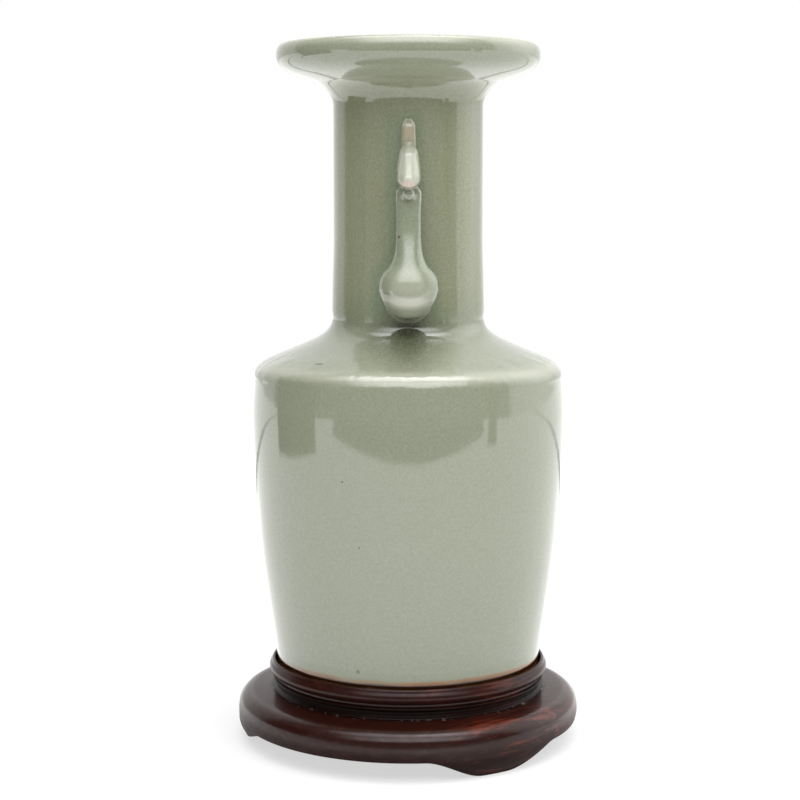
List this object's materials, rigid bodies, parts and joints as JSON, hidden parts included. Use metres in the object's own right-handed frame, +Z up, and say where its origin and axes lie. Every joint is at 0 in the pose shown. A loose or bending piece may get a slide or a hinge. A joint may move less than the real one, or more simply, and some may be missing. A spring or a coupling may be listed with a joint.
{
  "type": "two-handled mallet vase on a stand",
  "caption": "Mallet-shaped vase with a dished mouth and two bird-shaped neck handles in pale green glaze, lifting off a turned dark wood stand with carved feet.",
  "frame": {"origin": "on the turning axis, in the plane that the stand's three feet rest on", "axes": "+Z up along the axis of vase and stand, the handles at -Y (front) and +Y (back), +X to the right seen from the front"},
  "size_m": [0.1406, 0.1405, 0.2826],
  "materials": {
    "glaze": "glossy pale grey-green celadon glaze over stoneware",
    "wood": "dark stained hardwood, worn satin wax polish"
  },
  "bodies": {
    "stand": {"stand_base": "wood", "stand_collar": "wood"},
    "vase": {"vase_body": "glaze", "vase_neck": "glaze", "vase_mouth": "glaze", "handle_front": "glaze", "handle_back": "glaze"}
  },
  "joints": [
    {"name": "vase_lift", "type": "slide", "parent": "stand", "child": "vase", "axis": [0, 0, 1], "range_m": [0, 0.06]}
  ]
}
